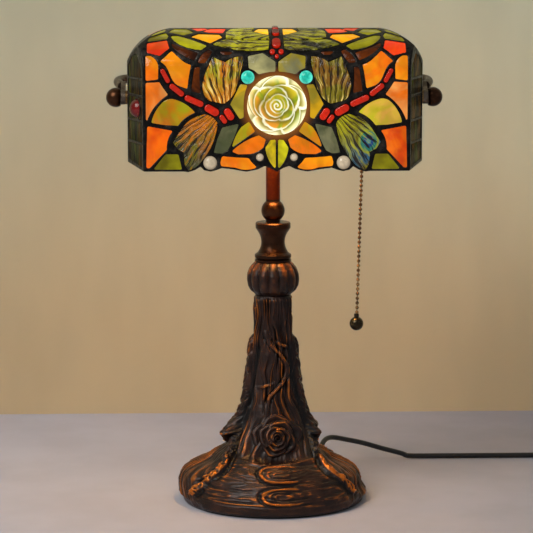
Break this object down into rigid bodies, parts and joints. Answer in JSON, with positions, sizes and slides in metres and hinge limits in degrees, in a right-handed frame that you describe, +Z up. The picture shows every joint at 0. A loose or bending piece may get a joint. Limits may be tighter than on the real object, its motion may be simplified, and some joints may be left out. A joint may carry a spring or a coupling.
{
  "type": "stained glass table lamp",
  "caption": "Table lamp with a trough-shaped mosaic glass shade that tilts between ball knobs on a curved yoke, a fluted stem, a sculpted rose foot, a pull chain and a cord",
  "frame": {"origin": "centre of the foot's underside, on the table", "axes": "+Z up, the shade's mosaic front faces -Y, the tilt axis runs along X, the pull chain hangs at +X"},
  "size_m": [0.467, 0.382, 0.4286],
  "materials": {
    "back_rail": "darkened brass",
    "bottom_cover": "sheet steel",
    "bulb_cap": "plain",
    "bulb_glass": "frosted, lit",
    "bulb_mount": "clear stem with filament",
    "centre_contact": "plain brass",
    "chain_ball": "antique brass",
    "chain_beads": "antique brass",
    "chain_guide": "aged brass",
    "chain_head": "antique brass",
    "chain_link": "antique brass",
    "cord_bushing": "black",
    "dragonfly_bodies": "streaky coloured glass, fire polished",
    "end_bearings": "darkened brass",
    "end_cabochon": "clear red, polished",
    "felt_pad": "dark felt",
    "foot_casting": "cast resin, bronze finish with rubbed copper ridges",
    "foot_nut": "zinc plated",
    "foot_washer": "zinc plated",
    "foot_weight": "as cast",
    "glass_amber": "streaky coloured glass, fire polished",
    "glass_clear": "streaky coloured glass, fire polished",
    "glass_ends": "streaky coloured glass, fire polished",
    "glass_green": "streaky coloured glass, fire polished",
    "glass_orange": "streaky coloured glass, fire polished",
    "glass_peach": "streaky coloured glass, fire polished",
    "glass_red": "streaky coloured glass, fire polished",
    "glass_slate": "streaky coloured glass, fire polished",
    "glass_umber": "streaky coloured glass, fire polished",
    "glass_wings": "streaky coloured glass, fire polished",
    "glass_yellow": "streaky coloured glass, fire polished",
    "hub_screw": "darkened steel",
    "knob_left": "dark bronze finish",
    "knob_right": "dark bronze finish",
    "lock_nuts": "plain brass",
    "pearl_nuggets": "streaky coloured glass, fire polished",
    "pivot_nipple": "plain brass",
    "pivot_stud": "plain brass",
    "plug_blades": "plain brass",
    "plug_body": "black, moulded",
    "power_cord": "black vinyl",
    "rose_cabochon": "streaky coloured glass, fire polished",
    "screw_shell": "plain brass",
    "shade_leading": "blackened solder, lightly polished",
    "socket_body": "unglazed",
    "socket_cap": "aged brass",
    "socket_insulator": "dark fibre sleeve",
    "socket_shell": "aged brass",
    "stem_ball": "dark bronze finish",
    "stem_cord": "black vinyl",
    "stem_melon": "cast resin, bronze finish with rubbed ridges",
    "stem_spool": "dark bronze finish",
    "stem_tube": "reddish bronze finish",
    "switch_lever": "plain",
    "threaded_rod": "zinc plated",
    "thrust_washers": "worn brass",
    "turquoise_jewels": "streaky coloured glass, fire polished",
    "yoke_bow": "bronze finish, worn lighter",
    "yoke_eyes": "bronze finish, worn lighter",
    "yoke_hub": "bronze finish"
  },
  "bodies": {
    "lamp": {"foot_casting": "foot_casting", "felt_pad": "felt_pad", "bottom_cover": "bottom_cover", "foot_weight": "foot_weight", "foot_washer": "foot_washer", "foot_nut": "foot_nut", "cord_bushing": "cord_bushing", "power_cord": "power_cord", "plug_body": "plug_body", "plug_blades": "plug_blades", "stem_cord": "stem_cord", "threaded_rod": "threaded_rod", "stem_melon": "stem_melon", "stem_spool": "stem_spool", "stem_ball": "stem_ball", "stem_tube": "stem_tube", "yoke_hub": "yoke_hub", "hub_screw": "hub_screw", "yoke_bow": "yoke_bow", "yoke_eyes": "yoke_eyes", "thrust_washers": "thrust_washers", "pivot_nipple": "pivot_nipple", "pivot_stud": "pivot_stud", "lock_nuts": "lock_nuts", "socket_shell": "socket_shell", "socket_insulator": "socket_insulator", "socket_body": "socket_body", "screw_shell": "screw_shell", "centre_contact": "centre_contact", "socket_cap": "socket_cap", "chain_guide": "chain_guide"},
    "shade": {"shade_leading": "shade_leading", "glass_amber": "glass_amber", "glass_clear": "glass_clear", "glass_ends": "glass_ends", "glass_green": "glass_green", "glass_orange": "glass_orange", "glass_peach": "glass_peach", "glass_red": "glass_red", "glass_slate": "glass_slate", "glass_umber": "glass_umber", "glass_wings": "glass_wings", "glass_yellow": "glass_yellow", "dragonfly_bodies": "dragonfly_bodies", "rose_cabochon": "rose_cabochon", "turquoise_jewels": "turquoise_jewels", "pearl_nuggets": "pearl_nuggets", "end_cabochon": "end_cabochon", "back_rail": "back_rail", "end_bearings": "end_bearings"},
    "knob_left": {"knob_left": "knob_left"},
    "knob_right": {"knob_right": "knob_right"},
    "bulb": {"bulb_glass": "bulb_glass", "bulb_cap": "bulb_cap", "bulb_mount": "bulb_mount"},
    "switch": {"switch_lever": "switch_lever"},
    "chain_head": {"chain_head": "chain_head"},
    "chain_link": {"chain_link": "chain_link"},
    "chain_lower": {"chain_beads": "chain_beads", "chain_ball": "chain_ball"}
  },
  "joints": [
    {"name": "shade_tilt", "type": "hinge", "parent": "lamp", "child": "shade", "pos_m": [0, -0.04, 0.3665], "axis": [1, 0, 0], "range_deg": [-25, 25]},
    {"name": "knob_left_turn", "type": "hinge", "parent": "lamp", "child": "knob_left", "pos_m": [-0.138, -0.04, 0.3665], "axis": [1, 0, 0], "continuous": true},
    {"name": "knob_right_turn", "type": "hinge", "parent": "lamp", "child": "knob_right", "pos_m": [0.138, -0.04, 0.3665], "axis": [1, 0, 0], "continuous": true},
    {"name": "bulb_turn", "type": "hinge", "parent": "lamp", "child": "bulb", "pos_m": [0.056, -0.04, 0.3665], "axis": [1, 0, 0], "continuous": true},
    {"name": "chain_pull", "type": "slide", "parent": "lamp", "child": "chain_head", "axis": [0, 0, -1], "range_m": [0, 0.005], "stiffness_N_per_m": 400},
    {"name": "lever_turn", "type": "hinge", "parent": "lamp", "child": "switch", "pos_m": [0.0725, -0.04, 0.3595], "axis": [0, 1, 0], "range_deg": [0, 58]},
    {"name": "chain_side_swing", "type": "hinge", "parent": "chain_head", "child": "chain_link", "pos_m": [0.0775, -0.04, 0.3424], "axis": [0, 1, 0], "range_deg": [-12, 12]},
    {"name": "chain_front_swing", "type": "hinge", "parent": "chain_link", "child": "chain_lower", "pos_m": [0.07738, -0.04, 0.33825], "axis": [1, 0, 0], "range_deg": [-12, 12]}
  ],
  "couplings": [
    {"joint": "lever_turn", "follows": "chain_pull", "rad_per_m": 200}
  ]
}
